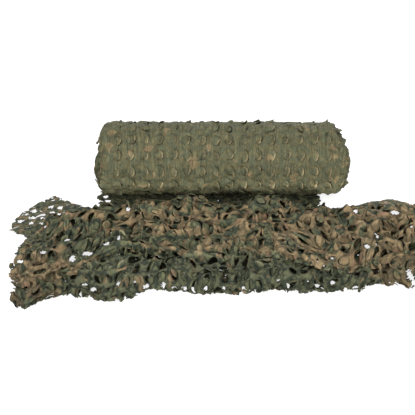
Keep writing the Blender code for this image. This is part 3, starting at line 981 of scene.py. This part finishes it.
def make_roll_leaves():
    """The outermost turn of the roll, pulled tight, with its cuts lying almost shut.

    turn is 0 at the bottom, a quarter at the back, a half at the top and three quarters at the front.
    """
    points, quads = leaf_cells(ROLL_COLUMNS, ROLL_ROWS, PULLED_PITCH, WOUND, WOUND_TURNS, 41)
    width = ROLL_COLUMNS * PULLED_ACROSS
    round_it = ROLL_ROWS * PULLED_PITCH[1]
    half = ROLL_LENGTH / 2
    u, v, off = points[:, :3].T
    x = (u / width - 0.5) * (ROLL_LENGTH - 0.01) + 0.003 * soft_noise(u, v, 0.06, 44)
    frayed = above(np.abs(x), half - FRAYED_REACH, 0.04)
    x = x + frayed * (0.010 * soft_noise(u, v, 0.028, 49) + 0.001) * np.sign(x)
    x = np.clip(x, -half - 0.008, half + 0.008)
    turn = np.clip(v / round_it + 0.004 * soft_noise(u, v, 0.05, 45), 0.0, 1.0)
    angle = 2 * math.pi * turn
    radius = end_profile(x) * roll_radius(turn, x) + (off - LEAF_SINK + noises(u, v, RIPPLE))
    lean = np.sign(x) * end_lean(x, angle) * above(np.abs(x), half - LEAN_REACH, LEAN_REACH)
    z = np.maximum(ROLL_CENTRE - radius * np.cos(angle), STRIP_TOP + 0.0004)
    placed = np.stack([x - lean, radius * np.sin(angle), z], 1)

    brown = 0.12 + 0.14 * above(turn, 0.7, 0.2)
    ragged = 1 + 0.5 * soft_noise(u, v, 0.018, 47)
    for spot in SPOTS:
        away = np.hypot(x - spot.x, (turn - spot.turn) * 2 * math.pi * ROLL_RADIUS)
        brown = np.maximum(brown, 0.95 * below(away, spot.radius * ragged, 0.006))
    # Painted highlight on the leaves' free edges, mostly on the front of the roll, more towards its right end
    # and patchy.
    front = above(turn, 0.57, 0.06) * below(turn, 0.90, 0.06)
    highlight_shown = np.clip(0.75 + 0.35 * np.clip(x / 0.3, -1, 1) + 0.5 * soft_noise(u, v, 0.11, 48), 0.15, 1)
    points[:, EDGE] *= 0.12 + 0.88 * front * highlight_shown
    # Painted light: the tone is raised strongly at the lower front of the roll, where it would be in shade,
    # and a little over its top and back; elsewhere it is lowered.
    points[:, TONE] += 2.3 * above(turn, 0.77, 0.06) + 0.4 * below(turn, 0.62, 0.08) - 0.22
    faces = (roll_face, roll_back)
    piece = cloth_piece("roll_leaves", placed, points, quads, brown, faces, (4.0, 0.0))


INNER_SIDES = 120
INNER_STEPS = 110
INNER_SINK = 0.0085
INNER_SHORTER = 0.006


def make_roll_inner():
    """The turns below the outermost ones, as one closed form with its rounded, uneven ends."""
    half = ROLL_LENGTH / 2 - INNER_SHORTER
    turn = np.arange(INNER_SIDES) / INNER_SIDES
    angle = 2 * math.pi * turn
    round_it = turn * 2 * math.pi * ROLL_RADIUS
    end_rings = END_RINGS[:-1]
    left = -half + END_RINGS[0].inset * ROUNDER[0]
    right = half - END_RINGS[0].inset * ROUNDER[1]
    rings = [(ring.inset * ROUNDER[0] - half, ring.share) for ring in reversed(end_rings)]
    rings += [(left + (right - left) * step / INNER_STEPS, 1.0) for step in range(1, INNER_STEPS)]
    rings += [(half - ring.inset * ROUNDER[1], ring.share) for ring in end_rings]
    points = []
    flats = []
    for x, share in rings:
        side = 1 if x > 0 else -1
        along = np.full(INNER_SIDES, x)
        radius = share * (roll_radius(turn, x) - INNER_SINK + 0.0022 * soft_noise(along, round_it, 0.04, 31))
        y = radius * np.sin(angle)
        z = -radius * np.cos(angle)
        rough = side * end_lumps(y, z, side) * (share < 1)
        lean = side * (end_lean(x, angle) * above(abs(x), half - LEAN_REACH, LEAN_REACH))
        points.append(np.stack([x - lean + rough, y, np.maximum(ROLL_CENTRE + z, STRIP_TOP + 0.0006)], 1))
        flats.append(np.stack([along + (1 - share) * 0.2, round_it, along * 0], 1))
    middles = np.array([(side * (half - 0.010), 0, ROLL_CENTRE) for side in (-1, 1)])
    points = np.concatenate(points + [middles])
    flats = np.concatenate(flats + [middles * 0])
    pairs = [(k, (k + 1) % INNER_SIDES) for k in range(INNER_SIDES)]
    last = (len(rings) - 1) * INNER_SIDES
    faces = [
        (low + k, low + after, low + INNER_SIDES + after, low + INNER_SIDES + k)
        for low in range(0, last, INNER_SIDES)
        for k, after in pairs
    ]
    for k, after in pairs:
        faces += [(last + INNER_SIDES, after, k), (last + INNER_SIDES + 1, last + k, last + after)]
    plain = np.zeros(len(points))
    attributes = {"flat": flats, "brown": plain + 0.3, "tone": plain, "edge": plain}
    piece = mesh_object("roll_inner", points, faces, (inner_face,), attributes)
    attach(piece, "root")
    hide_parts("net_roll")


END_TURN_STEP = 0.0135  # from one turn of a spiral to the next
END_STRIP_ROWS = 92
END_OUTER_RADIUS = ROLL_RADIUS - 0.006
END_CORE_RADIUS = 0.018
END_HANG = LOOSE._replace(hole=0.33, tongue=0.95, tilt=0.003)
END_TURN_KINDS = table(TURN, (0.7, -0.3, 0.4, -0.2, 0.4), (0.3, 0.3, 0.9, 0.0, 0.6))


def make_end_turns(name, side, seed):
    """The cut edge of the net, wound in its spiral at one end of the roll."""
    points, quads = leaf_cells(1, END_STRIP_ROWS, PULLED_PITCH, END_HANG, END_TURN_KINDS, seed)
    u, v, off = points[:, :3].T
    radius = np.sqrt(np.maximum(END_OUTER_RADIUS**2 - v * END_TURN_STEP / math.pi, END_CORE_RADIUS**2))
    angle = 2 * math.pi * ((END_OUTER_RADIUS - radius) / END_TURN_STEP)
    share = radius / ROLL_RADIUS
    insets, shares = np.transpose(END_RINGS[::-1])
    inset = np.interp(share, shares, insets) * by_end(side, ROUNDER)
    push = end_lumps(radius * np.sin(angle), -radius * np.cos(angle), side)
    push = push + 0.003 * soft_noise(v, 0.0, 0.035, seed + 2)
    push = push + by_end(side, FLARE) * np.clip(soft_noise(v, u, 0.034, seed + 4), 0, 1)
    reach = u / PULLED_ACROSS
    x = ROLL_LENGTH / 2 - inset + push * reach - (1 - reach) * PULLED_ACROSS * 0.95
    x = x - end_lean(x, angle) * share * np.clip(reach, 0, 1)
    wavy = 0.004 * soft_noise(u, v, 0.05, seed + 3) * reach
    bent_radius = radius + np.clip(off, -0.006, 0.006) + wavy
    z = np.maximum(ROLL_CENTRE - bent_radius * np.cos(angle), STRIP_TOP + 0.001)
    placed = np.stack([side * x, bent_radius * np.sin(angle), z], 1)
    kept = quads[radius[quads].min(1) > END_CORE_RADIUS + 0.0005]
    piece = cloth_piece(name, placed, points, kept, 0.30, (roll_face, roll_back), (seed, 0.0))


# ---- floor, light, camera

FLOOR_REACH = 12.0
WORLD_STRENGTH = 1.03
LAMP_AIM = (0.0, -0.4, 0.0)
LAMPS = table(
    "name place size power",
    ("key", (-0.5, -3.2, 4.2), 1.8, 45.0),
    ("left", (-4.4, -6.0, 1.8), 2.6, 560.0),
    ("right", (4.4, -6.0, 1.5), 2.6, 520.0),
    ("back", (0.6, 5.6, 2.6), 2.6, 340.0),
)


def make_stage():
    n = Nodes("floor_white")
    set_sockets(n.shader, {"Base Color": (0.30, 0.30, 0.30, 1), "Roughness": 0.9, "Specular IOR Level": 0.1})
    set_sockets(n.shader, {"Emission Color": (1, 1, 1, 1), "Emission Strength": 0.80})
    corners = np.array([(-1, -1, 0), (1, -1, 0), (1, 1, 0), (-1, 1, 0)]) * FLOOR_REACH
    floor = mesh_object("floor", corners, [(0, 1, 2, 3)], (n.material,), {})


def make_light():
    world = bpy.data.worlds.new("studio")
    world.use_nodes = True
    set_sockets(world.node_tree.nodes["Background"], {"Color": (1, 1, 1, 1), "Strength": WORLD_STRENGTH})
    bpy.context.scene.world = world
    for lamp in LAMPS:
        light = bpy.data.lights.new(lamp.name, "AREA")
        light.size = lamp.size
        light.energy = lamp.power
        holder = add_object(lamp.name, light)
        holder.location = lamp.place
        x, y, z = np.array(LAMP_AIM) - np.array(lamp.place)
        holder.rotation_euler = (math.atan2(math.hypot(x, y), -z), 0.0, math.atan2(y, x) - math.pi / 2)


def make_camera():
    data = bpy.data.cameras.new("camera")
    data.lens = CAMERA_LENS
    data.sensor_width = SENSOR_WIDTH
    camera = add_object("camera", data)
    camera.location = camera_place()
    camera.rotation_euler = (math.radians(90.0 - CAMERA_ELEVATION), 0.0, 0.0)
    bpy.context.scene.camera = camera
    bpy.context.scene.view_settings.view_transform = "Standard"


make_camera()
make_stage()
make_light()
make_heap()
make_strip("strip_lower", 61, PRESSED_HANG, PRESSED_TURNS, low=0.0, high=0.004, shift=0.0)
make_strip("strip_upper", 71, STRIP_HANG, STRIP_TURNS, low=0.0012, high=0.014, shift=0.012)
make_roll_inner()
make_roll_leaves()
make_end_turns("roll_turns_left", -1, 81)
make_end_turns("roll_turns_right", 1, 91)
